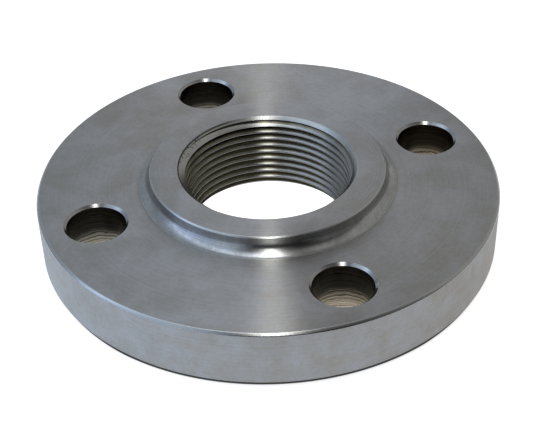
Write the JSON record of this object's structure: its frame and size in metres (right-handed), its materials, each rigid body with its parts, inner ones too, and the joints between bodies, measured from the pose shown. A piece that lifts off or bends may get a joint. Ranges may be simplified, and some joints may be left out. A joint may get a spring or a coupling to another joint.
{
  "type": "threaded flange",
  "caption": "Round stainless steel pipe flange with a low hub, a taper pipe thread in its bore, drilled bolt holes through the rim and a raised gasket face",
  "frame": {"origin": "centre of the raised gasket face, on the axis of the bore", "axes": "+Z along the bore from the gasket face to the hub; the bolt holes lie at 45 degrees to +X and +Y, so they straddle both centre lines"},
  "size_m": [0.127, 0.127, 0.0227],
  "materials": {
    "stainless_steel": "turned, satin"
  },
  "bodies": {
    "root": {"flange": "stainless_steel"}
  },
  "joints": []
}
